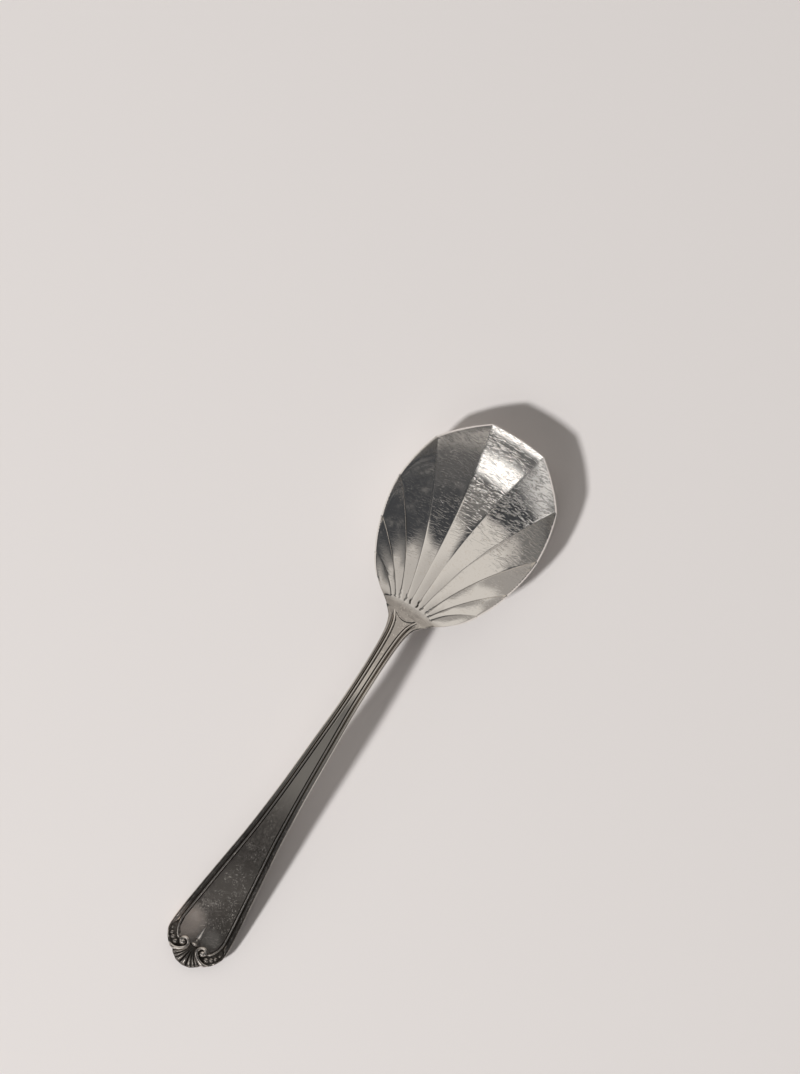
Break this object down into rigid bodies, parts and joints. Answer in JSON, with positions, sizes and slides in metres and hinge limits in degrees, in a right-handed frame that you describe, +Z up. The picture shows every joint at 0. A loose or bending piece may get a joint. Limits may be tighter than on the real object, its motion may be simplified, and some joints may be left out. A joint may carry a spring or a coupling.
{
  "type": "sugar spoon",
  "caption": "Sugar spoon with a fluted shell bowl, a slender arched handle edged with border and thread, and a broad end with scrolls, beads and a palmette.",
  "frame": {"origin": "centre of the spoon's bounding box in plan, on the table plane that the worn flat under the bowl and the handle's tip rest on", "axes": "+X from the handle's end to the bowl's tip, +Y across the spoon, +Z up, out of the open bowl"},
  "size_m": [0.15, 0.0392, 0.0148],
  "materials": {
    "bowl_silver": "silver plate, polished and finely scratched by use",
    "handle_silver": "silver plate, toned grey-brown, with dark tarnish in the channels",
    "relief_silver": "silver plate relief, rubbed bright on its crests and dark in its recesses"
  },
  "bodies": {
    "root": {"bowl": "bowl_silver", "handle": "handle_silver", "drop": "bowl_silver", "thread_left": "relief_silver", "thread_right": "relief_silver", "scroll_left": "relief_silver", "scroll_right": "relief_silver", "beads_left": "relief_silver", "beads_right": "relief_silver", "palmette": "relief_silver", "collar": "relief_silver", "dart": "relief_silver", "dart_bead": "relief_silver"}
  },
  "joints": []
}
